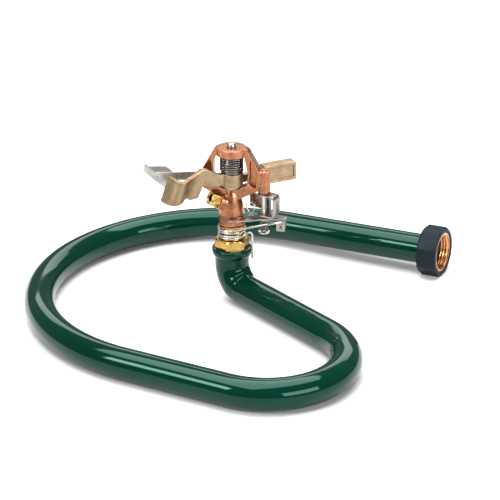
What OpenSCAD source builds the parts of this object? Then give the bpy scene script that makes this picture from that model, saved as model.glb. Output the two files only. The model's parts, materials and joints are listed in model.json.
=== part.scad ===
// Impact sprinkler head on a bent-tube ring base.
// The ring tube carries the water from a hose coupling to an elbow, which holds the
// turning head. Millimetres, +Z up, origin below the middle of the outline, on the ground.

/* [Ring tube] */
// Outside diameter of the tube
tube_d = 22.2; // [20:0.1:25]
// Wall thickness of the tube
tube_wall = 1.6; // [1:0.1:2.5]
// Centreline radius of the large bend
big_bend_r = 126; // [110:1:140]
// Angle turned by the large bend
big_bend_turn = 178.4; // [170:0.1:185]
// Length of the straight between the two bends
front_leg = 79; // [60:1:100]
// Centreline radius of the small bend
small_bend_r = 54; // [45:1:65]
// Angle turned by the small bend
small_bend_turn = 156.1; // [140:0.1:165]
// Length of the straight from the small bend to the riser's axis
diagonal_leg = 108; // [90:1:125]
// Length of the straight that ends in the hose coupling
inlet_leg = 115; // [100:1:130]
// Upward slope of the inlet leg, which lifts the coupling clear of the ground
inlet_rise = 1.55; // [1.5:0.05:3]

/* [Hose coupling] */
// Size across the flats of the coupling's octagonal cover
cover_flats = 35; // [34:0.5:40]
// Length of the cover
cover_length = 15.5; // [12:0.5:20]
// Outside diameter of the brass nut inside the cover
nut_d = 29.5; // [28:0.1:31]
// Inside diameter over the crests of the hose thread
thread_d = 24.6; // [24:0.1:25.4]

/* [Elbow] */
// Outside diameter of the elbow's upright neck
neck_d = 25; // [23:0.5:28]
// Diameter of the rolled rim round the outlet
rim_d = 29; // [27:0.5:32]
// Height of the rim's top above the ground
rim_top = 40.4; // [38:0.2:46]
// Centreline radius of the elbow's bend
elbow_r = 17; // [15:0.5:20]

/* [Bearing] */
// Size across the flats of the bearing sleeve's hexagon
hex_flats = 22; // [20:0.5:24]
// Outside diameter of the sleeve where the collars sit
sleeve_d = 17; // [15:0.1:18]
// Outside diameter of the turning nipple
nipple_d = 13; // [11:0.1:13.6]
// Bore of the turning nipple
nipple_bore = 10; // [8:0.1:10.4]
// Wire diameter of the two arc collars
collar_wire = 1.6; // [1.6:0.1:2.2]

/* [Head] */
// Direction of the bridge's right leg, seen from above
bridge_heading = 15.5; // [0:0.5:40]
// Diameter of the body's skirt
skirt_d = 18.5; // [17:0.1:20]
// Half width of the bridge at its widest
bridge_half = 22.6; // [21:0.1:25]
// Depth of the bridge, front to back
bridge_depth = 9; // [7:0.5:11]
// Direction of the nozzle from the bridge's right leg
nozzle_heading = 210; // [198:1:212]
// Upward angle of the nozzle
nozzle_lift = 25; // [15:1:30]
// Distance of the trip pin from the riser's axis
trip_reach = 23.5; // [22.5:0.5:26]

/* [Arm] */
// Direction of the arm's spoon from the bridge's right leg, at rest
arm_heading = 217.5; // [212:0.5:225]
// Diameter of the arm's hub
hub_d = 16; // [14:0.5:17]
// Diameter of the fulcrum pin
fulcrum_d = 5; // [4:0.1:5.6]
// Outside diameter of the arm spring
spring_d = 17.4; // [15:0.1:18]
// Turns of the arm spring
spring_turns = 6.5; // [4:0.5:8]

/* [Deflector] */
// Direction of the deflector's strap from the bridge's right leg
deflector_heading = 192; // [186:1:195]
// Sheet thickness of the deflector
deflector_sheet = 1; // [0.8:0.1:1.4]

/* [Hidden] */
$fn = 96;

brass = [0.80, 0.65, 0.32];
copper = [0.74, 0.47, 0.36];
cast_tan = [0.66, 0.57, 0.42];
steel = [0.72, 0.71, 0.69];
green = [0.02, 0.24, 0.17];

// Ring tube
tube_r = tube_d / 2;
bore_r = tube_r - tube_wall;
front_heading = 180 + big_bend_turn;                 // water's heading in the front leg
diagonal_heading = front_heading + small_bend_turn;   // and in the diagonal leg

function dir(a) = [cos(a), sin(a)];
function left_of(a) = [-sin(a), cos(a)];

// Plan positions relative to the riser, walking back along the tube
small_end = -diagonal_leg * dir(diagonal_heading);
small_centre = small_end + small_bend_r * left_of(diagonal_heading);
small_start = small_centre - small_bend_r * left_of(front_heading);
big_end = small_start - front_leg * dir(front_heading);
big_centre = big_end + big_bend_r * left_of(front_heading);

// Outline of the whole ring, for the origin
outline_left = big_centre[0] - big_bend_r - tube_r;
outline_right = small_centre[0] + small_bend_r + tube_r;
outline_front = small_centre[1] - small_bend_r - tube_r;
outline_back = big_centre[1] + big_bend_r + cover_flats / 2;
riser_x = -(outline_left + outline_right) / 2;
riser_y = -(outline_front + outline_back) / 2;

// The elbow's sections lap each other by this much and stand proud of each other by this much
seam_lap = 0.4;
seam_step = 0.02;

// Bearing stack heights
hex_bottom = rim_top + 0.1;
hex_top = 47.9;
sleeve_top = 58.2;
skirt_bottom = 58.7;
skirt_top = 67;
nipple_r = nipple_d / 2;
run_gap = 0.08;

// Head heights
hub_bottom = 88;
hub_top = 98;
bridge_under = 111;
bridge_top = 116.8;
boss_bottom = 84;
boss_top = 100.6;

// Trip heights
bracket_top = 83.4;
bracket_bottom = 66.8;
lever_bottom = 64.3;
trip_sheet = 1.1;
trip_pin_r = 1.65;

// ---- helpers -------------------------------------------------------------

// Cross-section of the ring tube
module tube_section() {
    difference() {
        circle(r = tube_r);
        circle(r = bore_r);
    }
}

// A straight length of tube along +X
module straight_tube(length) {
    rotate([90, 0, 90]) linear_extrude(length) tube_section();
}

// A bend that starts at the origin along +X and turns right
module bent_tube(radius, turn) {
    mirror([0, 1, 0]) translate([0, radius, 0]) rotate([0, 0, -90])
        rotate_extrude(angle = turn) translate([radius, 0]) tube_section();
}

// Places what follows at the far end of a bend
module after_bend(radius, turn) {
    translate([radius * sin(turn), -radius * (1 - cos(turn)), 0]) rotate([0, 0, -turn]) children();
}

// Stations along the tube, walking out from the riser
module from_riser() {
    translate([riser_x, riser_y, tube_r + seam_step]) rotate([0, 0, diagonal_heading + 180]) children();
}
module at_small_bend() {
    from_riser() translate([diagonal_leg, 0, 0]) children();
}
module at_front_leg() {
    at_small_bend() after_bend(small_bend_r, small_bend_turn) children();
}
module at_big_bend() {
    at_front_leg() translate([front_leg, 0, 0]) children();
}
// The far quarter of the large bend and the inlet leg are tipped up together
module at_lift() {
    at_big_bend() after_bend(big_bend_r, big_bend_turn - 90) rotate([-inlet_rise, 0, 0]) children();
}
module at_inlet_leg() {
    at_lift() after_bend(big_bend_r, 90) children();
}
// The tube's open end, with +Z along the coupling's axis
module at_tube_end() {
    at_inlet_leg() translate([inlet_leg, 0, 0]) rotate([0, 90, 0]) children();
}

// The riser's axis, and the head's own frame with +X along the bridge's right leg
module on_riser() {
    translate([riser_x, riser_y, 0]) children();
}
module on_head() {
    on_riser() rotate([0, 0, bridge_heading]) children();
}
module on_trip_axis() {
    on_head() translate([trip_reach, 0, 0]) children();
}

// A plain ring
module ring(outer_r, inner_r, low, high) {
    translate([0, 0, low]) difference() {
        cylinder(r = outer_r, h = high - low);
        translate([0, 0, -1]) cylinder(r = inner_r, h = high - low + 2);
    }
}

// A prism with flats, its corners turned off by a cone at each end
clear_of_corner = 0.5;
module turned_prism(sides, turn, corner_r, low, high, low_cut, high_cut) {
    outer = corner_r + clear_of_corner;
    slope = 0.65;
    intersection() {
        translate([0, 0, low]) rotate([0, 0, turn]) cylinder(r = corner_r, h = high - low, $fn = sides);
        rotate_extrude() polygon([
            [0, low - 1], [corner_r - low_cut - 1 / slope, low - 1],
            [outer, low + slope * (low_cut + clear_of_corner)],
            [outer, high - slope * (high_cut + clear_of_corner)],
            [corner_r - high_cut - 1 / slope, high + 1], [0, high + 1]]);
    }
}

// Points up a coil about Z; turns counter-clockwise from one angle to another
function coil_line(mean_r, from, to, start_z, end_z, steps) = let (n = ceil((to - from) / 360 * steps))
    [for (i = [0:n]) let (a = from + (to - from) * i / n)
        [mean_r * cos(a), mean_r * sin(a), start_z + (end_z - start_z) * i / n]];

// A round wire bent along a line of points
function unit(v) = v / norm(v);
function across(u, along) = unit(u - (u * along) * along);
module bent_wire(line, wire_r, sides = 6) {
    last = len(line) - 1;
    along = [for (i = [0:last]) unit(line[min(i + 1, last)] - line[max(i - 1, 0)])];
    sideways = [for (i = 0, u = across([0.31, 0.27, 0.91], along[0]); i <= last;
        i = i + 1, u = across(u, along[min(i, last)])) u];
    points = [for (i = [0:last], k = [0:sides - 1])
        let (a = 360 * k / sides)
        line[i] + wire_r * (cos(a) * sideways[i] + sin(a) * cross(along[i], sideways[i]))];
    walls = [for (i = [0:last - 1], k = [0:sides - 1]) let (n = (k + 1) % sides)
        [i * sides + k, (i + 1) * sides + k, (i + 1) * sides + n, i * sides + n]];
    caps = [[for (k = [0:sides - 1]) k], [for (k = [sides - 1:-1:0]) last * sides + k]];
    polyhedron(points, concat(walls, caps), convexity = 10);
}

// A compression spring about Z between two heights
module coil(mean_r, wire_r, low, high, turns) {
    bent_wire(coil_line(mean_r, 0, 360 * turns, low + wire_r, high - wire_r, 20), wire_r);
}

// A shape drawn in the head's X-Z plane, given a depth about the middle
module upright(depth) {
    rotate([90, 0, 0]) translate([0, 0, -depth / 2]) linear_extrude(depth) children();
}

// Places what follows along the nozzle's axis, +Z out of the nozzle
nozzle_root = 72.7;
module along_nozzle() {
    on_head() translate([0, 0, nozzle_root]) rotate([0, 0, nozzle_heading])
        rotate([0, 90 - nozzle_lift, 0]) children();
}

// ---- ring base -----------------------------------------------------------

elbow_reach = elbow_r + 2;

// The bent steel tube, in six lengths from the elbow to the coupling
module ring_back_leg() {
    color(green) from_riser() translate([elbow_reach, 0, 0]) straight_tube(diagonal_leg - elbow_reach);
}
module ring_small_bend() {
    color(green) at_small_bend() bent_tube(small_bend_r, small_bend_turn);
}
module ring_front_leg() {
    color(green) at_front_leg() straight_tube(front_leg);
}
module ring_near_bend() {
    color(green) at_big_bend() bent_tube(big_bend_r, big_bend_turn - 90);
}
module ring_far_bend() {
    color(green) at_lift() bent_tube(big_bend_r, 90);
}
module ring_inlet_leg() {
    color(green) at_inlet_leg() straight_tube(inlet_leg);
}

// Cast elbow: a quarter bend that swells to a thicker neck with a rolled rim
module elbow() {
    bend_top = tube_r + seam_step + elbow_r;
    neck_r = neck_d / 2;
    rim_r = rim_d / 2;
    thread_r = 10.1;
    swell_r = neck_r - 0.1;
    swell_angle = 65;
    swell_inside = 10.2;
    swell_length = 3.6;
    color(green) union() {
        from_riser() translate([elbow_r - seam_lap, 0, 0]) rotate([90, 0, 90])
            linear_extrude(elbow_reach - elbow_r + seam_lap) difference() {
                circle(r = tube_r + seam_step);
                circle(r = bore_r - seam_step);
            }
        from_riser() translate([elbow_r, 0, elbow_r]) rotate([90, 0, 0]) rotate([0, 0, 180])
            rotate_extrude(angle = 90) translate([elbow_r, 0]) tube_section();
        from_riser() translate([elbow_r, 0, elbow_r]) rotate([90, 0, 0]) rotate([0, 0, 180])
            rotate_extrude(angle = swell_angle) translate([elbow_r, 0]) difference() {
                circle(r = swell_r);
                circle(r = swell_inside);
            }
        from_riser() translate([elbow_r, 0, elbow_r]) rotate([90, 0, 0]) rotate([0, 0, 180 + swell_angle])
            translate([elbow_r, 0, 0]) rotate([-90, 0, 0]) rotate_extrude() polygon([
                [swell_inside, -0.3], [swell_r - 0.02, -0.3], [swell_r - 0.02, 0],
                [tube_r - 0.4, swell_length], [swell_inside, swell_length]]);
        on_riser() rotate_extrude() polygon([
            [bore_r - seam_step, bend_top - seam_lap], [neck_r, bend_top - seam_lap], [neck_r, rim_top - 6.2],
            [rim_r - 0.7, rim_top - 5], [rim_r, rim_top - 4], [rim_r, rim_top - 1.6],
            [rim_r - 0.5, rim_top - 0.5], [rim_r - 1.3, rim_top], [thread_r, rim_top],
            [thread_r, bend_top + 2.2], [bore_r - seam_step, bend_top + 1.6]]);
    }
}

// Brass ferrule brazed into the tube's open end; its flange holds the swivel nut
ferrule_flange = 1.2;
module inlet_ferrule() {
    color(brass) at_tube_end() rotate_extrude() polygon([
        [8, -12], [bore_r - seam_step, -12], [bore_r - seam_step, 0], [12.3, 0], [12.3, ferrule_flange],
        [8, ferrule_flange]]);
}

// ---- hose coupling -------------------------------------------------------

cover_back = -4.7;
cover_front = cover_back + cover_length;
washer_front = 3.2;
recess_r = 13;
nut_front = cover_front - 0.5;

// Brass swivel nut, threaded for a garden hose, with a flange behind that turns on the tube
module coupling_nut() {
    crest_r = thread_d / 2;
    color(brass) at_tube_end() rotate_extrude() polygon([
        [tube_r + run_gap, -2.4], [nut_d / 2, -2.4], [nut_d / 2, nut_front], [crest_r + 0.6, nut_front],
        [crest_r, nut_front - 0.6], [crest_r, washer_front], [recess_r, washer_front], [recess_r, -0.1],
        [tube_r + run_gap, -0.1]]);
}

// Octagonal plastic grip over the nut
module coupling_cover() {
    corner_r = cover_flats / 2 / cos(22.5);
    color([0.16, 0.20, 0.24]) at_tube_end() difference() {
        turned_prism(8, 22.5, corner_r, cover_back, cover_front, 1.9, 1.3);
        translate([0, 0, -2.4]) cylinder(r = nut_d / 2, h = cover_length);
        translate([0, 0, cover_back - 1]) cylinder(r = tube_r + 0.4, h = 4);
    }
}

// Rubber washer that seals against the hose
module hose_washer() {
    color([0.08, 0.08, 0.08]) at_tube_end() ring(recess_r, 8.2, ferrule_flange + 0.05, washer_front);
}

// ---- bearing -------------------------------------------------------------

// Hexagonal sleeve screwed into the elbow; the head's nipple turns in it
bead_height = 1.6;
bead_step = 0.9;
module bearing_sleeve() {
    corner_r = hex_flats / 2 / cos(30);
    sleeve_r = sleeve_d / 2;
    color(brass) on_riser() difference() {
        union() {
            translate([0, 0, 30.5]) cylinder(r = 10.1, h = hex_bottom - 30.5 + 1);
            turned_prism(6, -20.5, corner_r, hex_bottom, hex_top, 1, 1.9);
            cylinder(r = sleeve_r, h = sleeve_top - 0.1);
            translate([0, 0, sleeve_top - bead_height]) cylinder(r = sleeve_r + bead_step, h = bead_height);
        }
        cylinder(r = nipple_r + run_gap, h = 100);
        translate([0, 0, 52]) cylinder(r = 7.9, h = 20);
        translate([0, 0, -1]) cylinder(r = 20, h = 31.5);
    }
}

// Tube that carries the water up into the head, with a flange below the sleeve
module bearing_nipple() {
    color(brass) on_riser() rotate_extrude() polygon([
        [nipple_bore / 2, 26], [8.6, 26], [8.6, 27.4], [nipple_r, 27.4],
        [nipple_r, 66], [nipple_bore / 2, 66]]);
}

// Hard washer and soft seal between the nipple's flange and the sleeve
module friction_washer() {
    color([0.9, 0.9, 0.85]) on_riser() ring(8.8, nipple_r, 27.4, 28.9);
}
module seal_washer() {
    color([0.1, 0.1, 0.1]) on_riser() ring(9.2, nipple_r, 28.9, 30.4);
}

// Spring that lifts the head and keeps the seal closed
module bearing_spring() {
    color(steel) on_riser() coil(7.2, 0.5, 52.1, 58.6, 3.5);
}

// ---- arc collars ---------------------------------------------------------

collar_r = sleeve_d / 2 + collar_wire / 2 + 0.12;
collar_sweep = 576;                     // angle that each collar wraps, just over a turn and a half
collar_rise = collar_sweep / 360 * (collar_wire + 0.02);
lower_collar_z = hex_top + 0.15 + collar_wire / 2;
upper_collar_z = lower_collar_z + collar_rise + collar_wire + 0.1;

// Lower collar: its tail steps out and drops beside the elbow
module left_collar() {
    end_z = lower_collar_z + collar_rise;
    tail = [16.2, -6.5];
    color(steel) on_head() bent_wire(concat(
        coil_line(collar_r, -76 - collar_sweep, -76, lower_collar_z, end_z, 28),
        [[6.4, -9, end_z], [9.2, -8.5, end_z + 0.5], [12.2, -7.7, end_z + 2.8], [14.2, -7.1, end_z + 3.6],
         [15.6, -6.7, end_z + 3.2], [tail[0], tail[1], end_z + 2], [tail[0], tail[1], 35.5]]),
        collar_wire / 2, 8);
}

// Upper collar: its tail reaches out to the trip
module right_collar() {
    end_z = upper_collar_z + collar_rise;
    color(steel) on_head() bent_wire(concat(
        coil_line(collar_r, -84 - collar_sweep, -84, upper_collar_z, end_z, 28),
        [[5, -9.2, end_z + 0.5], [14, -7.15, end_z + 3.2], [36.6, -3.1, end_z + 7.4]]), collar_wire / 2, 8);
}

// ---- head ----------------------------------------------------------------

// Outline of the bridge, seen from the front
bridge_outline = [[-5, 78.3], [-20, 86], [-bridge_half, 97], [-13.2, 114.1], [-12.1, 115.7],
                  [-9.8, bridge_top], [9.8, bridge_top], [12.1, 115.7], [13.2, 114.1],
                  [bridge_half, 97], [20, 86], [5, 78.3]];
bridge_window = [[-5.5, 86.6], [-11.5, 89.5], [-12.6, 98], [-12.3, 107.5], [-10.6, bridge_under],
                 [9.8, bridge_under], [12.6, 98], [11.5, 89.5], [5.5, 86.6]];
upper_pocket = [[-20.2, 98.3], [-13.9, 98.3], [-13.8, 105.5], [-15, 108]];
lower_pocket = [[-18.7, 87.4], [-13.4, 91], [-14.2, 93.4], [-20.2, 93.4]];
right_pocket = [[13.1, 91.2], [14, 98], [13.7, 105.5], [14.6, 109.2], [19.4, 99.8], [18.6, 97], [18.3, 87.7]];
rivet_x = -16.6;
rivet_z = 96.2;

// Cast body: skirt, column, bridge with ribbed legs, nozzle boss and trip boss
module body_casting() {
    web = 2;
    color(copper) difference() {
        union() {
            on_head() rotate_extrude() polygon([
                [0, skirt_bottom], [skirt_d / 2, skirt_bottom], [skirt_d / 2, skirt_top],
                [8.9, 69], [7.7, 76], [6.4, 81], [5.2, 84], [4.7, 85], [4.7, 86.6], [0, 86.6]]);
            along_nozzle() cylinder(r = 6.2, h = 11);
            on_head() upright(bridge_depth) difference() {
                polygon(bridge_outline);
                polygon(bridge_window);
            }
            on_head() translate([0, 0, bridge_under]) cylinder(r = 10.6, h = bridge_top - bridge_under);
            on_trip_axis() translate([0, 0, boss_bottom]) cylinder(r = 4.4, h = boss_top - boss_bottom);
            on_head() translate([rivet_x, 0, rivet_z]) rotate([90, 0, 0]) translate([0, 0, -bridge_depth / 2])
                cylinder(r = 2.8, h = bridge_depth);
        }
        // recesses in both faces of both legs
        for (face = [-1, 1]) on_head() translate([0, face * (web + bridge_depth) / 2, 0])
            upright(bridge_depth) {
                polygon(upper_pocket);
                polygon(lower_pocket);
                polygon(right_pocket);
            }
        // water passages
        on_head() translate([0, 0, skirt_bottom - 1]) cylinder(r = nipple_r, h = 66 - skirt_bottom + 1);
        on_head() translate([0, 0, 65]) cylinder(r = nipple_bore / 2, h = 12);
        along_nozzle() cylinder(r = 3.4, h = 12);
        along_nozzle() translate([0, 0, 5.5]) cylinder(r = 4.6, h = 10);
        // seats of the fulcrum pin, the trip pin and the rivet
        on_head() translate([0, 0, 79]) cylinder(r = fulcrum_d / 2, h = 60);
        on_trip_axis() translate([0, 0, boss_bottom - 1])
            cylinder(r = trip_pin_r, h = boss_top - boss_bottom + 2);
        on_head() translate([rivet_x, 0, rivet_z]) rotate([90, 0, 0])
            cylinder(r = 1.5, h = 40, center = true);
    }
}

// Brass nozzle, screwed into its boss
module nozzle() {
    corner_r = 5.6;
    color(brass) along_nozzle() difference() {
        union() {
            translate([0, 0, 5.6]) cylinder(r = 4.6, h = 6.4);
            turned_prism(6, 15, corner_r, 11.05, 18.45, 0.3, 0.9);
        }
        translate([0, 0, 5]) cylinder(r = 2.9, h = 20);
        translate([0, 0, 17.6]) cylinder(r1 = 2.9, r2 = 3.8, h = 0.9);
    }
}

// Steel pin that the arm swings on, with a domed head above the bridge
module fulcrum_pin() {
    color(steel) on_head() rotate_extrude() polygon([
        [0, 79], [fulcrum_d / 2, 79], [fulcrum_d / 2, bridge_top], [3.3, bridge_top], [3.3, 119],
        [2.6, 119.8], [1.4, 120.1], [0, 120.2]]);
}

// Pin that carries the trip, riveted over at the bottom
module trip_pin() {
    color(steel) on_trip_axis() rotate_extrude() polygon([
        [0, 52.2], [2, 52.3], [3.4, 52.8], [4.2, 53.6], [4.2, 54.3], [trip_pin_r, 54.3],
        [trip_pin_r, boss_top - 0.8], [0, boss_top - 0.8]]);
}

// Small spring and retaining ring under the trip lever
module pin_spring() {
    color(steel) on_trip_axis() coil(2.6, 0.4, 54.4, 62.7, 4.5);
}
module pin_clip() {
    color(copper) on_trip_axis() ring(3.3, trip_pin_r, 62.8, 64.2);
}

// ---- swinging arm --------------------------------------------------------

module on_arm() {
    on_head() rotate([0, 0, arm_heading]) children();
}

// Middle line of the spoon ribbon, from the hub outwards; +Y is the spoon's near side
spoon_line = [[4, 0], [12, -0.6], [20, -1.8], [27, -1.6], [33, 0.8], [37.6, 4.2], [41, 5.6], [43.6, 3],
              [44.9, -2], [45.3, -7]];
spoon_lean = 20;                        // the vanes stand square to the rising jet
spoon_pivot = [41, 98.5];
// Catmull-Rom point between the second and third of four points
function blend(p, t) = 0.5 * ((2 * p[1]) + (p[2] - p[0]) * t + (2 * p[0] - 5 * p[1] + 4 * p[2] - p[3]) * t * t
    + (3 * p[1] - p[0] - 3 * p[2] + p[3]) * t * t * t);
function ends(line) = concat([2 * line[0] - line[1]], line, [2 * line[len(line) - 1] - line[len(line) - 2]]);
function smooth(line, steps) = let (e = ends(line)) concat(
    [for (i = [0:len(line) - 2], k = [0:steps - 1]) blend([e[i], e[i + 1], e[i + 2], e[i + 3]], k / steps)],
    [line[len(line) - 1]]);
function side_of(line, i) = let (
    a = line[max(i - 1, 0)], b = line[min(i + 1, len(line) - 1)], d = (b - a) / norm(b - a)) [-d[1], d[0]];
// Ribbon that is thicker near the hub
function ribbon(line, root, tip) = let (n = len(line)) concat(
    [for (i = [0:n - 1]) line[i] + side_of(line, i) * (root + (tip - root) * min(1, 2 * i / n))],
    [for (i = [n - 1:-1:0]) line[i] - side_of(line, i) * (root + (tip - root) * min(1, 2 * i / n))]);

// What the arm fills, seen from the side: the bar near the hub, and the vanes
bar_side = [[0, 89], [15, 89.4], [23.5, 91.2], [23.5, 103.2], [22, 103], [18.5, 102.6], [12.8, 99.2],
            [9.8, hub_top - 0.1], [0, hub_top - 0.1]];
vane_side = [[19.5, 90.6], [22.6, 91.4], [26.6, 82.4], [33.4, 82], [34.2, 84.4], [38.6, 84.4], [39.4, 82.6],
             [54, 82.6], [54, 101.6], [46, 100.4], [40, 99], [31, 99.6], [26, 101.6], [22.5, 103.2],
             [19.5, 102.9]];
weight_near = 24;
weight_far = 50;
weight_low = 84.8;
weight_high = 98.6;
weight_half = 4.2;

// Cast arm: spoon, hub and counterweight
module impact_arm() {
    spoon_plan = ribbon(smooth(spoon_line, 5), 2.7, 1.8);
    mid = (weight_near + weight_far) / 2;
    length = weight_far - weight_near;
    height = weight_high - weight_low;
    color(cast_tan) on_arm() difference() {
        union() {
            translate([0, 0, hub_bottom]) cylinder(d = hub_d, h = hub_top - hub_bottom);
            translate([0, 0, hub_bottom]) cylinder(r = 6, h = 100.8 - hub_bottom);
            intersection() {
                translate([0, 0, 80]) linear_extrude(30) polygon(spoon_plan);
                upright(60) polygon(bar_side);
            }
            intersection() {
                translate([spoon_pivot[0], 0, spoon_pivot[1]]) rotate([0, -spoon_lean, 0])
                    translate([0, 0, -26]) linear_extrude(40)
                        polygon([for (p = spoon_plan) [(p[0] - spoon_pivot[0]) * cos(spoon_lean), p[1]]]);
                upright(60) polygon(vane_side);
            }
            translate([-weight_near - 2, -2.2, 89]) cube([weight_near - 2, 4.4, 6]);
            translate([-weight_far, 0, weight_low]) upright(2 * weight_half) {
                translate([1.5, 0]) square([length - 3, height]);
                translate([0, 1.5]) square([length, height - 3]);
                for (x = [1.5, length - 1.5], z = [1.5, height - 1.5]) translate([x, z]) circle(r = 1.5);
            }
        }
        // recessed panels in both faces of the counterweight
        for (face = [-1, 1]) translate([-mid, face * (weight_half + 5 - 1), (weight_low + weight_high) / 2])
            cube([length - 4.4, 10, height - 4.4], center = true);
        translate([0, 0, hub_bottom - 1]) cylinder(r = 3.7, h = 20);
    }
}

// Bush pressed into the hub, and the washer it turns on
module arm_bush() {
    color(brass) on_head() ring(3.7, fulcrum_d / 2 + 0.06, hub_bottom, 100.8);
}
module thrust_washer() {
    color([0.92, 0.92, 0.88]) on_head() ring(5.6, fulcrum_d / 2, 86.6, hub_bottom - 0.08);
}

// Spring that brings the arm back
module arm_spring() {
    wire_r = 0.65;
    color(steel) on_head() rotate([0, 0, 250])
        coil(spring_d / 2 - wire_r, wire_r, hub_top + 0.15, bridge_under - 0.1, spring_turns);
}

// ---- deflector -----------------------------------------------------------

strap_front = -(bridge_depth / 2 + 0.08);

// Bent sheet that breaks up the jet, on a strap pivoted to the bridge's left leg
module deflector() {
    fold_x = -23;
    sheet = deflector_sheet;
    color(steel) on_head() difference() {
        union() {
            translate([fold_x - 0.2, strap_front - sheet, 92.4]) cube([9.8, sheet, 6]);
            translate([fold_x, strap_front - sheet / 2, 0]) rotate([0, 0, deflector_heading]) {
                upright(sheet) polygon([
                    [-0.5, 92.4], [-0.5, 98.4], [21.6, 97.9], [30.4, 97.9], [37.9, 105], [39.6, 99.6],
                    [24.9, 86.3], [20.4, 85.6], [20.1, 92]]);
                translate([0, 0, 97.9 - sheet]) linear_extrude(sheet) polygon([
                    [19.5, 0], [30.6, 0], [36, -12], [23.5, -12], [18.5, -3]]);
            }
        }
        translate([rivet_x, 0, rivet_z]) rotate([90, 0, 0]) cylinder(r = 1.56, h = 20);
    }
}

// Rivet that the strap turns on
module deflector_rivet() {
    color(steel) on_head() translate([rivet_x, 0, rivet_z]) rotate([90, 0, 0]) {
        translate([0, 0, -bridge_depth / 2]) cylinder(r = 1.5, h = bridge_depth + 1.3);
        translate([0, 0, bridge_depth / 2 + 1.2]) cylinder(r1 = 2.4, r2 = 1.6, h = 0.9);
        translate([0, 0, -bridge_depth / 2 - 0.8]) cylinder(r1 = 1.6, r2 = 2.4, h = 0.8);
    }
}

// ---- trip ----------------------------------------------------------------

// Lower trip lever: a plate with a finger past the body and a folded end that meets the collar tails
module trip_lever() {
    tab_front = -2;
    color(steel) on_trip_axis() difference() {
        union() {
            translate([0, 0, lever_bottom]) linear_extrude(trip_sheet) {
                circle(r = 4.6);
                polygon([[-23.8, -13.2], [-23.8, -10.9], [-12.6, -7.7], [-11.8, -1.2], [-4, 1.5], [0, 4.6],
                         [15.6, 4.2], [15.6, tab_front], [2, -4.4], [0, -4.6], [-9, -9.4]]);
            }
            translate([9.2, tab_front, 55.5]) cube([6.4, trip_sheet, 11.4]);
            translate([15.6 - trip_sheet, tab_front, 57.5]) cube([trip_sheet, 6.2, lever_bottom - 57]);
        }
        translate([0, 0, 50]) cylinder(r = trip_pin_r + 0.06, h = 40);
        translate([12.4, 0, 62.6]) rotate([90, 0, 0]) cylinder(r = 0.9, h = 20);
        translate([12.4, 0, 58.6]) rotate([90, 0, 0]) cylinder(r = 0.9, h = 20);
    }
}

// Upper trip bracket: a strip folded into a C on the trip pin, with a blade behind the trip spring
module trip_bracket() {
    back = 3.4;
    reach = 10.7;
    fold = 3;
    inner_fold = fold - trip_sheet;
    height = bracket_top - bracket_bottom;
    folds = [[reach - fold, bracket_bottom + fold], [reach - fold, bracket_top - fold]];
    color(steel) on_trip_axis() rotate([0, 0, -22]) difference() {
        union() {
            upright(8.4) difference() {
                union() {
                    translate([-back, bracket_bottom]) square([reach + back - fold, height]);
                    translate([0, bracket_bottom + fold]) square([reach, height - 2 * fold]);
                    for (at = folds) translate(at) circle(r = fold);
                }
                translate([-4, bracket_bottom + trip_sheet])
                    square([reach + 4 - fold, height - 2 * trip_sheet]);
                translate([-4, bracket_bottom + fold]) square([reach + 4 - trip_sheet, height - 2 * fold]);
                for (at = folds) translate(at) circle(r = inner_fold);
            }
            for (z = [bracket_bottom, bracket_top - trip_sheet])
                translate([0, 0, z]) cylinder(r = 4.6, h = trip_sheet);
            translate([-14.2, 3.1, bracket_bottom + 2.6]) cube([17.8, trip_sheet, 10.6]);
            translate([-2.6, 3.1, bracket_bottom + 0.4]) cube([6.2, trip_sheet, 12]);
        }
        translate([0, 0, 50]) cylinder(r = trip_pin_r + 0.06, h = 60);
    }
}

// Trip spring: a loop of wire with crossing legs, between the lever and the bracket
module trip_spring() {
    loop_r = 3.4;
    wire_r = 0.45;
    middle = [-9.2, -2.6, 73.2];
    leg_drop = 7.2;
    loop = [for (i = [0:26]) let (a = 215 - 250 * i / 26)
        middle + [loop_r * cos(a), 0.55 - 1.1 * i / 26, loop_r * sin(a)]];
    color(steel) on_trip_axis() bent_wire(concat(
        [middle + [1.7, 0.55, -leg_drop], middle + [-1.8, 0.55, -3.3]], loop,
        [middle + [1.8, -0.55, -3.3], middle + [-1.7, -0.55, -leg_drop]]), wire_r);
}

ring_back_leg();
ring_small_bend();
ring_front_leg();
ring_near_bend();
ring_far_bend();
ring_inlet_leg();
elbow();
inlet_ferrule();
bearing_sleeve();
coupling_cover();
coupling_nut();
hose_washer();
left_collar();
right_collar();
bearing_nipple();
seal_washer();
friction_washer();
bearing_spring();
body_casting();
nozzle();
fulcrum_pin();
trip_pin();
pin_spring();
pin_clip();
impact_arm();
arm_bush();
thrust_washer();
arm_spring();
deflector();
deflector_rivet();
trip_lever();
trip_bracket();
trip_spring();
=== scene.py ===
"""Looks of a garden impact sprinkler on a ring base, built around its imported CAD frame."""

import json
import math
from collections import namedtuple

import bmesh
import bpy
from mathutils import Matrix, Vector


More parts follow.
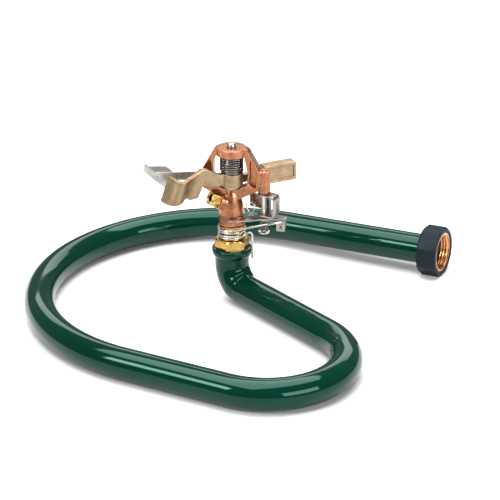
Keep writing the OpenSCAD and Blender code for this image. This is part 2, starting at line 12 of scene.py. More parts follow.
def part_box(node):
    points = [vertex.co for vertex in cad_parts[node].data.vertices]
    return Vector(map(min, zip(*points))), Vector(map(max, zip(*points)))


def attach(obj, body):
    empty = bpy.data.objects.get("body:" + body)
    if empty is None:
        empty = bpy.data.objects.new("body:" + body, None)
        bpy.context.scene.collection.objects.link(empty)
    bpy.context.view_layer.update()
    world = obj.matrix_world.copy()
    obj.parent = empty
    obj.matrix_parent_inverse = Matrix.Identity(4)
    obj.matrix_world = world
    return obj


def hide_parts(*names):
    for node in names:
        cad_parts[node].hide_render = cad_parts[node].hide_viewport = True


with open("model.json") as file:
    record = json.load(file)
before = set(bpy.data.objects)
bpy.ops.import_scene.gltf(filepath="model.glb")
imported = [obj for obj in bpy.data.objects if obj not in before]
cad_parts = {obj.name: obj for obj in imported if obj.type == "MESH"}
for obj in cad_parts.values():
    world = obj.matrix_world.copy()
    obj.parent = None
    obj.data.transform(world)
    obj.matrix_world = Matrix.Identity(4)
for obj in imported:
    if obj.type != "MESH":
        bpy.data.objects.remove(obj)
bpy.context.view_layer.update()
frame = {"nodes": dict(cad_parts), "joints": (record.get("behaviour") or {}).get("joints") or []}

# lengths below are in millimetres and angles in degrees, unless a comment says otherwise
MM = 0.001


# ---- places ----------------------------------------------------------------

def move(x, y, z):
    return Matrix.Translation((x, y, z))


def turn(degrees, axis="Z"):
    return Matrix.Rotation(math.radians(degrees), 4, axis)


def middle(node):
    """The middle of a CAD node's box, in millimetres."""
    low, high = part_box(node)
    return (low + high) / 2 / MM


def joint(name):
    return next(j for j in frame["joints"] if j["name"] == name)


HEAD_ANGLE = 15.5
TRIP_OUT = 23.5
NOZZLE_UP = 72.7
NOZZLE_ANGLE = 210
NOZZLE_TILT = 65

pin = middle("fulcrum_pin")
RISER = move(pin.x, pin.y, 0)
HEAD = RISER @ turn(HEAD_ANGLE)
TRIP = HEAD @ move(TRIP_OUT, 0, 0)
NOZZLE = HEAD @ move(0, 0, NOZZLE_UP) @ turn(NOZZLE_ANGLE) @ turn(NOZZLE_TILT, "Y")
swivel = joint("coupling_swivel")
inlet_axis = Vector(swivel["axis"]).normalized()
inlet_rise = math.degrees(math.asin(inlet_axis.z))
TUBE_END = move(*(Vector(swivel["pos_m"]) / MM)) @ turn(90 - inlet_rise, "Y")


# ---- mesh making -----------------------------------------------------------

# points closer than this many metres become one
WELD = 0.000001
CAD_WELD = 0.000002
# an edge sharper than this many degrees isn't smoothed over
TURNED_SHARP = 38
WIRE_SHARP = 60
PIPE_SHARP = 50
CAST_SHARP = 70
SHEET_SHARP = 32
THREAD_SHARP = 34
# any direction that no wire or pipe starts along
START_SIDE = Vector((0.31, 0.27, 0.91))
PIPE_SIDES = 96
# the rings that round off a wire's end, as shares of its radius, and how far the end bulges
CAP_SHARES = (0.02, 0.6, 0.9)
CAP_BULGE = 0.35
# a bend between two straight parts uses at most this share of either
PROFILE_SHARE = 0.42
WIRE_SHARE = 0.45
CURVE_STEPS = (0, 0.33, 0.67, 1)
SMALLEST_CURVE = 0.01
FLAT_BLEND = 0.12
# share of the faces that a casting keeps after its remesh
KEPT_FACES = 0.35

# a polygon cut on a turned piece: the cut reaches from low to high, and leaves what lies inside inner_r
Flats = namedtuple("Flats", "sides apothem first_corner low high inner_r")


def smooth_shade(mesh, sharp_angle):
    mesh.polygons.foreach_set("use_smooth", [True] * len(mesh.polygons))
    mesh.set_sharp_from_angle(angle=math.radians(sharp_angle))


def new_piece(name, vertices, faces, where, sharp_angle=TURNED_SHARP):
    """A new object from millimetre points in the frame called where."""
    mesh = bpy.data.meshes.new(name)
    mesh.from_pydata([(where @ Vector(v)) * MM for v in vertices], [], faces)
    mesh.validate()
    bm = bmesh.new()
    bm.from_mesh(mesh)
    bmesh.ops.remove_doubles(bm, verts=bm.verts, dist=WELD)
    bmesh.ops.recalc_face_normals(bm, faces=bm.faces)
    bm.to_mesh(mesh)
    bm.free()
    smooth_shade(mesh, sharp_angle)
    piece = bpy.data.objects.new(name, mesh)
    bpy.context.scene.collection.objects.link(piece)
    return piece


def settle(piece, body, slot, material, *nodes):
    """Gives a piece its material and its body, and hides the CAD nodes that it stands for."""
    piece.data.materials.clear()
    piece.data.materials.append(material)
    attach(piece, body)
    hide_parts(*nodes)


def carried(points):
    """A frame at each point of a line, carried along without twisting."""
    last = len(points) - 1
    ahead = [(points[min(i + 1, last)] - points[max(i - 1, 0)]).normalized() for i in range(last + 1)]
    side = ahead[0].cross(START_SIDE).normalized()
    frames = []
    for direction in ahead:
        side = (side - direction * side.dot(direction)).normalized()
        frames.append((side, direction.cross(side)))
    return frames


def ring_of(point, axes, radius, sides):
    """A circle of points across a line."""
    side, up = axes
    steps = [2 * math.pi * k / sides for k in range(sides)]
    return [point + radius * (math.cos(a) * side + math.sin(a) * up) for a in steps]


def join_rings(first, second, sides):
    faces = []
    for k in range(sides):
        n = (k + 1) % sides
        faces.append((first + k, first + n, second + n, second + k))
    return faces


def wire(name, points, radius, where, sides):
    """A round wire with softly rounded ends."""
    points = [Vector(p) for p in points]
    axes = carried(points)
    start = (points[0] - points[1]).normalized()
    end = (points[-1] - points[-2]).normalized()
    rings = []
    for share in CAP_SHARES:
        back = radius * CAP_BULGE * math.sqrt(1 - share * share)
        rings.append(ring_of(points[0] + start * back, axes[0], radius * share, sides))
    rings += [ring_of(p, a, radius, sides) for p, a in zip(points, axes)]
    for share in CAP_SHARES[::-1]:
        back = radius * CAP_BULGE * math.sqrt(1 - share * share)
        rings.append(ring_of(points[-1] + end * back, axes[-1], radius * share, sides))
    vertices = [v for ring in rings for v in ring]
    faces = []
    for i in range(len(rings) - 1):
        faces += join_rings(i * sides, (i + 1) * sides, sides)
    faces.append(tuple(range(sides - 1, -1, -1)))
    faces.append(tuple(len(vertices) - sides + k for k in range(sides)))
    return new_piece(name, vertices, faces, where, WIRE_SHARP)


def pipe(name, points, outer, inner, where):
    """A pipe along a line, with an outer and an inner radius at each point."""
    points = [Vector(p) for p in points]
    axes = carried(points)
    loops = [ring_of(p, a, r, PIPE_SIDES) for p, a, r in zip(points, axes, outer)]
    back = [ring_of(p, a, r, PIPE_SIDES) for p, a, r in zip(points, axes, inner)]
    loops += back[::-1]
    vertices = [v for loop in loops for v in loop]
    faces = []
    for i in range(len(loops)):
        faces += join_rings(i * PIPE_SIDES, (i + 1) % len(loops) * PIPE_SIDES, PIPE_SIDES)
    return new_piece(name, vertices, faces, where, PIPE_SHARP)


def curved(before, here, after, cut, steps):
    """Points round a corner, from cut millimetres before it to cut millimetres after it."""
    a = here + (before - here).normalized() * cut
    b = here + (after - here).normalized() * cut
    return [a * (1 - t) ** 2 + here * 2 * t * (1 - t) + b * t * t for t in steps]


def eased(profile, radius):
    """The closed profile with each corner rounded; points are (r, z) or (r, z, rounding)."""
    count = len(profile)
    out = []
    for i, point in enumerate(profile):
        here = Vector(point[:2])
        wanted = point[2] if len(point) > 2 else radius
        before = Vector(profile[i - 1][:2])
        after = Vector(profile[(i + 1) % count][:2])
        cut = min(wanted, PROFILE_SHARE * (before - here).length, PROFILE_SHARE * (after - here).length)
        if cut < SMALLEST_CURVE:
            out.append(here)
        else:
            out += curved(before, here, after, cut, CURVE_STEPS)
    return out


def soft_min(a, b, k):
    """The smaller of a and b, with the change from one to the other spread over k."""
    h = max(0.0, min(1.0, 0.5 + 0.5 * (b - a) / k))
    return b * (1 - h) + a * h - k * h * (1 - h)


def flat_radius(angle, flats):
    """How far the polygon's side is from the axis in one direction."""
    step = 2 * math.pi / flats.sides
    away = (angle - math.radians(flats.first_corner)) % step - step / 2
    return flats.apothem / math.cos(away)


def turned_faces(segments, count):
    """The faces between segments copies of a closed outline of count points."""
    faces = []
    for k in range(segments):
        n = (k + 1) % segments
        for i in range(count):
            j = (i + 1) % count
            faces.append((k * count + i, k * count + j, n * count + j, n * count + i))
    return faces


def lathe(name, profile, where, rounding, segments, flats=None):
    """A turned piece, with flats cut on it where they are given."""
    points = eased(profile, rounding)
    vertices = []
    for k in range(segments):
        angle = 2 * math.pi * k / segments
        for r, z in points:
            if flats and flats.low <= z <= flats.high and r > flats.inner_r:
                r = soft_min(r, flat_radius(angle, flats), FLAT_BLEND)
            vertices.append((r * math.cos(angle), r * math.sin(angle), z))
    return new_piece(name, vertices, turned_faces(segments, len(points)), where)


def coil_points(mean, start, end, low, high, steps=40):
    """A helix from start to end degrees, with steps points in each turn."""
    count = max(2, int(abs(end - start) / 360 * steps))
    out = []
    for i in range(count + 1):
        a = math.radians(start + (end - start) * i / count)
        out.append(Vector((mean * math.cos(a), mean * math.sin(a), low + (high - low) * i / count)))
    return out


def rounded_line(corners, radius, steps=8):
    """A line through corner points, with its bends rounded."""
    corners = [Vector(c) for c in corners]
    out = [corners[0]]
    for i in range(1, len(corners) - 1):
        here = corners[i]
        before = corners[i - 1]
        after = corners[i + 1]
        cut = min(radius, WIRE_SHARE * (before - here).length, WIRE_SHARE * (after - here).length)
        out += curved(before, here, after, cut, [k / steps for k in range(steps + 1)])
    out.append(corners[-1])
    return out


def apply_modifiers(piece):
    """The piece's mesh as its modifiers leave it."""
    graph = bpy.context.evaluated_depsgraph_get()
    mesh = bpy.data.meshes.new_from_object(piece.evaluated_get(graph))
    piece.modifiers.clear()
    piece.data = mesh


def cad_copy(node, name):
    """A new piece with a welded copy of a CAD node's mesh."""
    piece = bpy.data.objects.new(name, frame["nodes"][node].data.copy())
    bpy.context.scene.collection.objects.link(piece)
    bm = bmesh.new()
    bm.from_mesh(piece.data)
    bmesh.ops.remove_doubles(bm, verts=bm.verts, dist=CAD_WELD)
    bm.to_mesh(piece.data)
    bm.free()
    return piece


def as_cast(node, name, voxel, rounds):
    """The CAD solid with every edge rounded over, as a casting's are."""
    piece = cad_copy(node, name)
    remesh = piece.modifiers.new("remesh", "REMESH")
    remesh.mode = "VOXEL"
    remesh.voxel_size = voxel * MM
    relax = piece.modifiers.new("relax", "SMOOTH")
    relax.factor = 0.5
    relax.iterations = rounds
    thin = piece.modifiers.new("thin", "DECIMATE")
    thin.ratio = KEPT_FACES
    apply_modifiers(piece)
    smooth_shade(piece.data, CAST_SHARP)
    return piece


def as_sheet(node, name, width=0.16):
    """The CAD solid with its sharp edges broken by a small bevel."""
    piece = cad_copy(node, name)
    bm = bmesh.new()
    bm.from_mesh(piece.data)
    bmesh.ops.dissolve_limit(bm, angle_limit=math.radians(1), verts=bm.verts, edges=bm.edges)
    bm.to_mesh(piece.data)
    bm.free()
    bevel = piece.modifiers.new("bevel", "BEVEL")
    bevel.width = width * MM
    bevel.segments = 2
    bevel.limit_method = "ANGLE"
    bevel.angle_limit = math.radians(SHEET_SHARP)
    apply_modifiers(piece)
    smooth_shade(piece.data, SHEET_SHARP)
    return piece


# ---- materials -------------------------------------------------------------

class Nodes:
    """Short names for the node calls that every material uses. Texture scales are per metre."""

    def __init__(self, name):
        self.material = bpy.data.materials.new(name)
        self.material.use_nodes = True
        self.tree = self.material.node_tree
        self.shader = self.tree.nodes["Principled BSDF"]
        self.place = self.tree.nodes.new("ShaderNodeTexCoord").outputs["Object"]

    def link(self, a, b):
        self.tree.links.new(a, b)

    def set(self, **values):
        for name, value in values.items():
            self.shader.inputs[name.replace("_", " ")].default_value = value

    def stretched(self, scale):
        node = self.tree.nodes.new("ShaderNodeMapping")
        node.inputs["Scale"].default_value = scale
        self.link(self.place, node.inputs["Vector"])
        return node.outputs["Vector"]

    def noise(self, scale, detail, vector=None):
        node = self.tree.nodes.new("ShaderNodeTexNoise")
        node.inputs["Scale"].default_value = scale
        node.inputs["Detail"].default_value = detail
        node.inputs["Roughness"].default_value = 0.55
        self.link(vector or self.place, node.inputs["Vector"])
        return node.outputs["Fac"]

    def cells(self, scale):
        node = self.tree.nodes.new("ShaderNodeTexVoronoi")
        node.inputs["Scale"].default_value = scale
        self.link(self.place, node.inputs["Vector"])
        return node.outputs["Distance"]

    def ramp(self, value, stops):
        node = self.tree.nodes.new("ShaderNodeValToRGB")
        elements = node.color_ramp.elements
        while len(elements) < len(stops):
            elements.new(0.5)
        for element, (place, colour) in zip(elements, stops):
            element.position = place
            element.color = colour + (1,)
        self.link(value, node.inputs["Fac"])
        return node.outputs["Color"]

    def span(self, value, to_low, to_high, low=0.3, high=0.7):
        """The value with low to high, where most of a noise lies, spread over to_low to to_high."""
        node = self.tree.nodes.new("ShaderNodeMapRange")
        for name, number in (("From Min", low), ("From Max", high), ("To Min", to_low), ("To Max", to_high)):
            node.inputs[name].default_value = number
        self.link(value, node.inputs["Value"])
        return node.outputs["Result"]

    def mix(self, factor, a, b, blend="MIX"):
        node = self.tree.nodes.new("ShaderNodeMix")
        node.data_type = "RGBA"
        node.blend_type = blend
        if isinstance(factor, float):
            node.inputs["Factor"].default_value = factor
        else:
            self.link(factor, node.inputs["Factor"])
        for socket, colour in ((node.inputs[6], a), (node.inputs[7], b)):
            if isinstance(colour, tuple):
                socket.default_value = colour + (1,)
            else:
                self.link(colour, socket)
        return node.outputs[2]

    def edges(self):
        """0 in recesses and 1 on raised edges, to place painted shade in the recesses."""
        node = self.tree.nodes.new("ShaderNodeNewGeometry")
        return self.span(node.outputs["Pointiness"], 0, 1, 0.44, 0.56)

    def bump(self, heights):
        """heights is a list of (height output, distance in mm)."""
        normal = None
        for height, distance in heights:
            node = self.tree.nodes.new("ShaderNodeBump")
            node.inputs["Strength"].default_value = 1
            node.inputs["Distance"].default_value = distance * MM
            self.link(height, node.inputs["Height"])
            if normal:
                self.link(normal, node.inputs["Normal"])
            normal = node.outputs["Normal"]
        self.link(normal, self.shader.inputs["Normal"])

    def colour(self, output):
        self.link(output, self.shader.inputs["Base Color"])

    def roughness(self, drift, low, high):
        self.link(self.span(drift, low, high), self.shader.inputs["Roughness"])


def green_paint():
    """Glossy paint. Its gloss is tinted, so that the pale floor shows green in it."""
    n = Nodes("green_paint")
    drift = n.noise(9, 2)
    n.colour(n.ramp(drift, [(0.3, (0.0002, 0.0160, 0.0092)), (0.7, (0.0003, 0.0220, 0.0124))]))
    n.roughness(n.noise(60, 3), 0.05, 0.09)
    n.set(Specular_IOR_Level=0.29, Specular_Tint=(0.36, 0.82, 0.68, 1))
    n.set(Coat_Weight=0.08, Coat_Roughness=0.02, Coat_IOR=1.5)
    n.bump([(n.noise(110, 2), 0.012)])
    return n.material


def cast_copper():
    """Copper-coloured casting, with painted shade darkening its recesses."""
    n = Nodes("cast_copper")
    skin = [(0.25, (0.33, 0.125, 0.06)), (0.55, (0.49, 0.215, 0.115)), (0.8, (0.62, 0.31, 0.18))]
    base = n.ramp(n.noise(160, 5), skin)
    # painted shade: the recess colour is mixed towards near-black copper and laid into the recesses by the
    # pointiness mask
    hollow_shade = n.mix(0.6, base, (0.12, 0.03, 0.015))
    n.colour(n.mix(n.edges(), hollow_shade, base))
    n.roughness(n.noise(420, 4), 0.22, 0.38)
    n.set(Metallic=1.0)
    n.bump([(n.noise(900, 5), 0.035), (n.noise(220, 3), 0.08)])
    return n.material


def cast_brass():
    """Tan cast brass with a sandy grain, and painted shade darkening its recesses."""
    n = Nodes("cast_brass")
    skin = [(0.25, (0.30, 0.21, 0.12)), (0.5, (0.42, 0.305, 0.185)), (0.8, (0.54, 0.41, 0.265))]
    base = n.ramp(n.noise(190, 6), skin)
    grain = n.ramp(n.cells(1500), [(0.0, (0.80, 0.80, 0.80)), (0.5, (1, 1, 1))])
    # painted shade: the recess colour is mixed towards dark brown and laid into the recesses by the
    # pointiness mask; the grain below is real
    hollow_shade = n.mix(0.55, base, (0.10, 0.06, 0.025))
    with_painted_shade = n.mix(n.edges(), hollow_shade, base)
    n.colour(n.mix(1.0, with_painted_shade, grain, "MULTIPLY"))
    n.roughness(n.noise(500, 4), 0.36, 0.55)
    n.set(Metallic=1.0)
    n.bump([(n.cells(1300), 0.05), (n.noise(1100, 6), 0.07), (n.noise(240, 3), 0.1)])
    return n.material


def machined_brass(name, dark, middling, light):
    """Brass with fine turning lines."""
    n = Nodes(name)
    drift = n.noise(150, 4)
    n.colour(n.ramp(drift, [(0.3, dark), (0.6, middling), (0.8, light)]))
    lines = n.noise(2600, 2, n.stretched((0.05, 0.05, 1.0)))
    n.roughness(lines, 0.14, 0.3)
    n.set(Metallic=1.0)
    n.bump([(lines, 0.008), (n.noise(500, 3), 0.02)])
    return n.material


def stainless(name, colour, low, high, across=(1, 1, 1)):
    """Steel wire or sheet with roughness from low to high; across stretches its brushed lines."""
    n = Nodes(name)
    dark = tuple(c * 0.78 for c in colour)
    n.colour(n.ramp(n.noise(260, 4), [(0.3, dark), (0.7, colour)]))
    lines = n.noise(1800, 3, n.stretched(across))
    n.roughness(lines, low, high)
    n.set(Metallic=1.0)
    n.bump([(lines, 0.012)])
    return n.material


def grip_plastic():
    """Dark moulded plastic with a fine grain."""
    n = Nodes("grip_plastic")
    n.colour(n.ramp(n.noise(80, 3), [(0.3, (0.003, 0.007, 0.012)), (0.7, (0.006, 0.012, 0.019))]))
    n.roughness(n.noise(700, 4), 0.42, 0.56)
    n.set(Specular_IOR_Level=0.12)
    n.bump([(n.cells(2200), 0.02), (n.noise(3000, 3), 0.02)])
    return n.material


def rubber():
    n = Nodes("rubber")
    n.colour(n.ramp(n.noise(300, 4), [(0.3, (0.012, 0.012, 0.012)), (0.7, (0.028, 0.028, 0.027))]))
    n.roughness(n.noise(900, 3), 0.6, 0.8)
    n.bump([(n.noise(1600, 3), 0.02)])
    return n.material


def nylon():
    n = Nodes("nylon")
    n.colour(n.ramp(n.noise(200, 3), [(0.3, (0.62, 0.60, 0.52)), (0.7, (0.74, 0.72, 0.65))]))
    n.roughness(n.noise(500, 3), 0.35, 0.5)
    n.bump([(n.noise(900, 3), 0.015)])
    return n.material


GREEN = green_paint()
COPPER = cast_copper()
CAST = cast_brass()
BRASS = machined_brass("machined_brass", (0.40, 0.235, 0.060), (0.54, 0.335, 0.10), (0.64, 0.43, 0.17))
MOUTH = machined_brass("mouth_brass", (0.46, 0.20, 0.075), (0.64, 0.31, 0.13), (0.78, 0.44, 0.22))
WIRE = stainless("drawn_wire", (0.56, 0.53, 0.49), 0.12, 0.26)
SPRING = stainless("spring_steel", (0.16, 0.15, 0.145), 0.14, 0.26)
SHEET = stainless("bright_sheet", (0.52, 0.50, 0.47), 0.26, 0.42, (1, 1, 0.08))
DULL = stainless("stamped_sheet", (0.38, 0.355, 0.32), 0.22, 0.4, (0.1, 1, 1))
PLASTIC = grip_plastic()
RUBBER = rubber()
NYLON = nylon()


# ---- ring base -------------------------------------------------------------

TUBE_R = 11.1
BORE_R = 9.5
# the tube's middle line is this high, which leaves a hair of room over the ground
LIE = TUBE_R + 0.02
ELBOW_R = 17.0
ELBOW_LAP = 2
BIG_R = 126.0
BIG_TURN = 178.4
FRONT_LEG = 79.0
SMALL_R = 54.0
SMALL_TURN = 156.1
DIAGONAL_LEG = 108.0
INLET_LEG = 115.0
OUTWARD = BIG_TURN + SMALL_TURN
BEND_STEP = 2.2


def bend_end(radius, degrees):
    """Where a right-hand bend ends, seen from where it starts."""
    a = math.radians(degrees)
    return move(radius * math.sin(a), -radius * (1 - math.cos(a)), 0) @ turn(-degrees)


def ring_line():
    """The tube's middle line, walked outwards from the elbow. It tilts up halfway round the large bend."""
    here = RISER @ move(0, 0, LIE) @ turn(OUTWARD)
    line = []

    def straight(start, end, steps):
        for k in range(steps):
            line.append((here @ move(start + (end - start) * k / steps, 0, 0)).to_translation())

    def bend(radius, degrees):
        steps = int(radius * math.radians(degrees) / BEND_STEP)
        for k in range(steps):
            line.append((here @ bend_end(radius, degrees * k / steps)).to_translation())

    straight(ELBOW_R + ELBOW_LAP, DIAGONAL_LEG, 8)
    here = here @ move(DIAGONAL_LEG, 0, 0)
    bend(SMALL_R, SMALL_TURN)
    here = here @ bend_end(SMALL_R, SMALL_TURN)
    straight(0, FRONT_LEG, 6)
    here = here @ move(FRONT_LEG, 0, 0)
    bend(BIG_R, BIG_TURN - 90)
    here = here @ bend_end(BIG_R, BIG_TURN - 90) @ turn(-inlet_rise, "X")
    bend(BIG_R, 90)
    here = here @ bend_end(BIG_R, 90)
    straight(0, INLET_LEG, 8)
    line.append((here @ move(INLET_LEG, 0, 0)).to_translation())
    return line


def make_ring():
    line = ring_line()
    tube = pipe("ring_pipe", line, [TUBE_R] * len(line), [BORE_R] * len(line), Matrix.Identity(4))
    lengths = [node for node in frame["nodes"] if node.startswith("ring_")]
    settle(tube, "base", "ring_paint", GREEN, *lengths)


def make_elbow():
    """Quarter bend that swells to a thicker neck with a rolled rim, in one casting."""
    lap_proud = (0.0, 0.12, 0.15)
    swell = 1.15
    swell_starts = 2
    swell_steps = 7
    bend_steps = 24
    socket_z = 20
    socket_r = 10.15
    crown = 40.4 - LIE
    line = []
    outer = []
    for k, proud in enumerate(lap_proud):
        line.append(Vector((ELBOW_R + ELBOW_LAP - k, 0, 0)))
        outer.append(TUBE_R + proud)
    for k in range(1, bend_steps + 1):
        a = math.radians(90 * k / bend_steps)
        line.append(Vector((ELBOW_R - ELBOW_R * math.sin(a), 0, ELBOW_R - ELBOW_R * math.cos(a))))
        share = max(0.0, min(1.0, (k - swell_starts) / swell_steps))
        outer.append(TUBE_R + lap_proud[-1] + swell * share * share * (3 - 2 * share))
    inner = [BORE_R] * len(line)
    neck = [(17.6, 12.4), (18.8, 12.42), (20.2, 12.45), (21.4, 12.45), (22.2, 12.35)]
    rim = [(22.8, 12.35), (23.3, 12.8), (23.8, 13.75), (24.3, 14.2), (25.0, 14.45), (25.8, 14.5),
           (27.4, 14.5), (28.2, 14.42), (28.8, 14.15), (29.15, 13.7), (crown - 0.02, 13.2)]
    # the mouth's inner edge is a hair above its outer edge, so that the line still points up
    mouth = [(crown, 12.4), (crown + 0.002, 10.2)]
    for z, r in neck + rim + mouth:
        line.append(Vector((0, 0, z)))
        outer.append(r)
        inner.append(BORE_R if z < socket_z else socket_r)
    piece = pipe("elbow_casting", line, outer, inner, RISER @ move(0, 0, LIE) @ turn(OUTWARD))
    settle(piece, "base", "ring_paint", GREEN, "elbow")


def make_sleeve():
    hexagon = Flats(sides=6, apothem=11.0, first_corner=-20.5, low=40.45, high=47.95, inner_r=8.8)
    profile = [(10.08, 30.6), (10.08, 40.5), (11.7, 40.5), (12.9, 41.2), (12.9, 46.5), (10.9, 47.9),
               (8.75, 47.9), (8.5, 48.3), (8.5, 56.6), (9.4, 56.65), (9.4, 58.15), (7.9, 58.15), (7.9, 52),
               (6.6, 52), (6.6, 30.6)]
    piece = lathe("sleeve_hexagon", profile, RISER, 0.25, 240, hexagon)
    settle(piece, "base", "machined_brass", BRASS, "bearing_sleeve")


def make_ferrule():
    profile = [(8, -12), (9.47, -12), (9.47, 0), (12.28, 0), (12.28, 1.2), (8, 1.2)]
    piece = lathe("ferrule_turned", profile, TUBE_END, 0.2, 96)
    settle(piece, "base", "machined_brass", BRASS, "inlet_ferrule")


# ---- hose coupling ---------------------------------------------------------

def make_cover():
    octagon = Flats(sides=8, apothem=17.5, first_corner=22.5, low=-4.75, high=10.85, inner_r=14.9)
    profile = [(11.5, -4.7), (17.0, -4.7, 0.6), (18.9, -3.5, 0.5), (18.9, 9.95, 0.5), (17.6, 10.8, 0.6),
               (14.78, 10.8, 0.25), (14.78, -2.4), (11.5, -2.4)]
    piece = lathe("coupling_grip", profile, TUBE_END, 0.3, 320, octagon)
    settle(piece, "coupling", "grip_plastic", PLASTIC, "coupling_cover")


def make_nut():
    """Swivel nut with a real helical hose thread inside."""
    pitch = 2.21
    crest = 12.32
    depth = 0.85
    relief = 1.15
    flank = 2.6
    crest_width = 0.2
    fade_in = 0.8
    fade_out = 1.4
    segments = 120
    low = 3.2
    high = 9.8
    steps = 58
    outline = [(crest + 0.75, 10.22), (crest + 0.85, 10.3), (14.55, 10.3), (14.72, 10.1), (14.72, -2.2),
               (14.5, -2.38), (11.25, -2.38), (11.2, -2.3), (11.2, -0.12), (13.0, -0.12), (13.0, low)]
    vertices = []
    for k in range(segments):
        angle = 2 * math.pi * k / segments
        for r, z in outline:
            vertices.append((r * math.cos(angle), r * math.sin(angle), z))
        for i in range(steps + 1):
            z = low + (high - low) * i / steps
            phase = (z / pitch - k / segments) % 1
            tooth = max(0.0, min(1.0, flank * abs(phase - 0.5) - crest_width))
            fade = min(1.0, (z - low) / fade_in, (high - z) / fade_out)
            r = crest + relief - (relief - depth + depth * (1 - tooth)) * max(0.0, fade)
            vertices.append((r * math.cos(angle), r * math.sin(angle), z))
    faces = turned_faces(segments, len(outline) + steps + 1)
    piece = new_piece("coupling_thread", vertices, faces, TUBE_END, THREAD_SHARP)
    settle(piece, "coupling", "machined_brass", MOUTH, "coupling_nut")


def make_hose_washer():
    profile = [(8.2, 1.3), (12.95, 1.3), (12.95, 3.15), (8.2, 3.15)]
    piece = lathe("washer_ring", profile, TUBE_END, 0.5, 96)
    settle(piece, "coupling", "rubber", RUBBER, "hose_washer")


# ---- bearing and collars ---------------------------------------------------

COLLAR_R = 9.42
COLLAR_WIRE = 1.6
COLLAR_SWEEP = 576
COLLAR_RISE = 2.59
COLLAR_GAP = 0.1
COLLAR_STEPS = 56
LOWER_COLLAR = 48.85
UPPER_COLLAR = LOWER_COLLAR + COLLAR_RISE + COLLAR_WIRE + COLLAR_GAP
LOWER_TAIL_ANGLE = -76
UPPER_TAIL_ANGLE = -84


def collar_coil(tail_angle, low):
    """A collar's turns, which end at its tail's angle."""
    return coil_points(COLLAR_R, tail_angle - COLLAR_SWEEP, tail_angle, low, low + COLLAR_RISE, COLLAR_STEPS)


def make_collars():
    drawn_r = COLLAR_WIRE / 2 - 0.01
    end = LOWER_COLLAR + COLLAR_RISE
    line = collar_coil(LOWER_TAIL_ANGLE, LOWER_COLLAR)
    tail = [line[-1], (6.4, -9, end), (9.2, -8.5, end + 0.5), (12.2, -7.7, end + 2.8),
            (14.2, -7.1, end + 3.6), (15.6, -6.7, end + 3.2), (16.2, -6.5, end + 2), (16.2, -6.5, 35.5)]
    piece = wire("lower_collar_wire", line[:-1] + rounded_line(tail, 1.4), drawn_r, HEAD, 18)
    settle(piece, "left_collar", "stainless", WIRE, "left_collar")
    end = UPPER_COLLAR + COLLAR_RISE
    line = collar_coil(UPPER_TAIL_ANGLE, UPPER_COLLAR)
    tail = [line[-1], (5, -9.2, end + 0.5), (14, -7.15, end + 3.2), (36.6, -3.1, end + 7.4)]
    piece = wire("upper_collar_wire", line[:-1] + rounded_line(tail, 3), drawn_r, HEAD, 18)
    settle(piece, "right_collar", "stainless", WIRE, "right_collar")


def make_bearing():
    nipple = [(5, 26), (8.6, 26), (8.6, 27.4), (6.5, 27.4), (6.5, 66), (5, 66)]
    settle(lathe("nipple_turned", nipple, RISER, 0.2, 96), "head", "machined_brass", BRASS, "bearing_nipple")
    hard = [(6.5, 27.4), (8.8, 27.4), (8.8, 28.9), (6.5, 28.9)]
    settle(lathe("washer_hard", hard, RISER, 0.2, 96), "head", "nylon", NYLON, "friction_washer")
    soft = [(6.5, 28.9), (9.2, 28.9), (9.2, 30.4), (6.5, 30.4)]
    settle(lathe("washer_soft", soft, RISER, 0.4, 96), "head", "rubber", RUBBER, "seal_washer")
    lift = coil_points(7.2, 0, 360 * 3.5, 52.6, 58.1)
    settle(wire("lift_coil", lift, 0.5, RISER, 10), "head", "spring_wire", SPRING, "bearing_spring")


# ---- head ------------------------------------------------------------------

def make_head():
    settle(as_cast("body_casting", "head_casting", 0.32, 5), "head", "cast_copper", COPPER, "body_casting")
    hexagon = Flats(sides=6, apothem=4.85, first_corner=15, low=11.0, high=18.5, inner_r=4.4)
    barrel = [(2.92, 5.6), (4.6, 5.6), (4.6, 11.05), (5.3, 11.05), (5.6, 11.3), (5.6, 17.7), (4.7, 18.45),
              (3.85, 18.45), (2.92, 17.6)]
    piece = lathe("nozzle_turned", barrel, NOZZLE, 0.15, 192, hexagon)
    settle(piece, "head", "machined_brass", BRASS, "nozzle")
    domed = [(0.01, 79), (2.3, 79), (2.5, 79.3), (2.5, 116.8), (3.2, 116.8, 0.05), (3.3, 117.3),
             (3.3, 118.8, 0.5), (2.7, 119.8, 0.5), (1.2, 120.15), (0.01, 120.18)]
    settle(lathe("fulcrum_turned", domed, HEAD, 0.15, 96), "head", "stainless", WIRE, "fulcrum_pin")
    riveted = [(0.01, 52.2), (2, 52.3), (3.5, 52.9, 0.5), (4.2, 53.6, 0.3), (4.2, 54.3), (1.65, 54.3),
               (1.65, 99.6), (1.3, 99.9), (0.01, 99.9)]
    settle(lathe("trip_pin_turned", riveted, TRIP, 0.15, 96), "head", "stainless", WIRE, "trip_pin")
    coil = coil_points(2.6, 0, 360 * 4.5, 54.8, 62.3)
    settle(wire("pin_coil", coil, 0.4, TRIP, 10), "head", "spring_wire", SPRING, "pin_spring")
    clip = [(1.65, 62.8), (3.3, 62.8), (3.3, 64.2), (1.65, 64.2)]
    settle(lathe("pin_washer", clip, TRIP, 0.2, 64), "head", "machined_brass", BRASS, "pin_clip")
    thrust = [(2.5, 86.6), (5.6, 86.6), (5.6, 87.9), (2.5, 87.9)]
    settle(lathe("thrust_ring", thrust, HEAD, 0.2, 96), "head", "nylon", NYLON, "thrust_washer")
    coil = coil_points(7.9, 250, 250 + 360 * 6.5, 98.95, 110.1, 48)
    settle(wire("return_spring", coil, 0.64, HEAD, 14), "head", "spring_wire", SPRING, "arm_spring")
    settle(as_sheet("deflector_rivet", "strap_rivet", 0.12), "head", "stainless", WIRE, "deflector_rivet")


# ---- arm, deflector and trip -----------------------------------------------

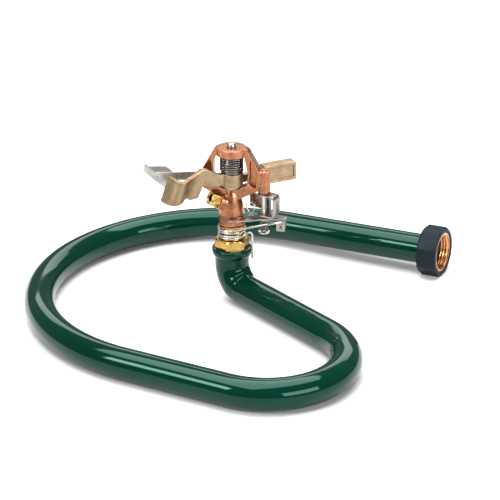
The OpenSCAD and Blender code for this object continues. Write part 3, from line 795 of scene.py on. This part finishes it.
def make_arm():
    settle(as_cast("impact_arm", "arm_casting", 0.3, 4), "arm", "cast_brass", CAST, "impact_arm")
    bush = [(2.56, 88), (3.7, 88), (3.7, 100.8), (2.56, 100.8)]
    settle(lathe("bush_turned", bush, HEAD, 0.15, 96), "arm", "machined_brass", BRASS, "arm_bush")


def make_deflector():
    settle(as_sheet("deflector", "deflector_sheet", 0.2), "deflector", "stainless", SHEET, "deflector")


def make_trip():
    settle(as_sheet("trip_lever", "lever_stamping"), "trip_lever", "stainless", DULL, "trip_lever")
    settle(as_sheet("trip_bracket", "bracket_stamping"), "trip_bracket", "stainless", DULL, "trip_bracket")
    # a loop of wire whose two ends cross below it, one in front of its middle and one behind
    loop_r = 3.4
    apart = 0.55
    steps = 48
    centre = Vector((-9.2, -2.6, 73.2))
    line = [centre + Vector((1.7, apart, -7.2)), centre + Vector((-1.8, apart, -3.3))]
    for i in range(steps + 1):
        a = math.radians(215 - 250 * i / steps)
        across = apart - 2 * apart * i / steps
        line.append(centre + Vector((loop_r * math.cos(a), across, loop_r * math.sin(a))))
    line += [centre + Vector((1.8, -apart, -3.3)), centre + Vector((-1.7, -apart, -7.2))]
    piece = wire("trip_loop", line, 0.45, TRIP, 12)
    settle(piece, "trip_lever", "spring_wire", WIRE, "trip_spring")


# ---- stage -----------------------------------------------------------------

FLOOR_REACH = 4.0
FLOOR_GREY = (0.72, 0.72, 0.72, 1)
WORLD_STRENGTH = 0.22
# name, place, target and size in metres, and power in watts
LAMPS = (
    ("overhead", (-0.1, 0.05, 1.5), (0, 0, 0), (1.9, 1.5), 62),
    ("back_wash", (-0.75, 1.55, 1.15), (-0.25, 0.55, 0), (2.2, 0.55), 12),
    ("front_left_strip", (-0.66, -1.17, 0.93), (0, 0, 0.03), (0.6, 0.4), 14),
    ("right_fill", (1.35, -0.62, 0.56), (0, 0, 0.08), (1.1, 0.52), 16),
)
CAMERA_FROM_PIN = Vector((607.07, -1189.80, 631.80))
VIEW_TURN = 26.475
VIEW_DOWN = 24
LENS = 145.82
SENSOR = 36
FARTHEST = 20


def aim(direction):
    """The rotation of a lamp or camera that looks along a direction."""
    return direction.to_track_quat("-Z", "Y").to_euler()


def make_floor():
    mesh = bpy.data.meshes.new("floor")
    corners = [(-1, -1), (1, -1), (1, 1), (-1, 1)]
    mesh.from_pydata([(FLOOR_REACH * x, FLOOR_REACH * y, 0) for x, y in corners], [], [(0, 1, 2, 3)])
    floor = bpy.data.objects.new("floor", mesh)
    bpy.context.scene.collection.objects.link(floor)
    n = Nodes("floor_paper")
    n.set(Base_Color=FLOOR_GREY, Roughness=0.8)
    mesh.materials.append(n.material)


def make_lights():
    world = bpy.data.worlds.new("studio")
    bpy.context.scene.world = world
    world.use_nodes = True
    background = world.node_tree.nodes["Background"]
    background.inputs["Color"].default_value = (1, 1, 1, 1)
    background.inputs["Strength"].default_value = WORLD_STRENGTH
    for name, place, target, size, power in LAMPS:
        light = bpy.data.lights.new(name, "AREA")
        light.shape = "RECTANGLE"
        light.size, light.size_y = size
        light.energy = power
        holder = bpy.data.objects.new(name, light)
        holder.location = place
        holder.rotation_euler = aim(Vector(target) - Vector(place))
        bpy.context.scene.collection.objects.link(holder)


def make_camera():
    scene = bpy.context.scene
    lens = bpy.data.cameras.new("photo_view")
    lens.sensor_width = SENSOR
    lens.lens = LENS
    lens.clip_end = FARTHEST
    camera = bpy.data.objects.new("photo_view", lens)
    around = math.radians(VIEW_TURN)
    down = math.radians(VIEW_DOWN)
    camera.location = (Vector((pin.x, pin.y, 0)) + CAMERA_FROM_PIN) * MM
    ahead = (-math.sin(around) * math.cos(down), math.cos(around) * math.cos(down), -math.sin(down))
    camera.rotation_euler = aim(Vector(ahead))
    scene.collection.objects.link(camera)
    scene.camera = camera
    scene.view_settings.view_transform = "Standard"


make_floor()
make_lights()
make_camera()
make_ring()
make_elbow()
make_sleeve()
make_ferrule()
make_cover()
make_nut()
make_hose_washer()
make_collars()
make_bearing()
make_head()
make_arm()
make_deflector()
make_trip()
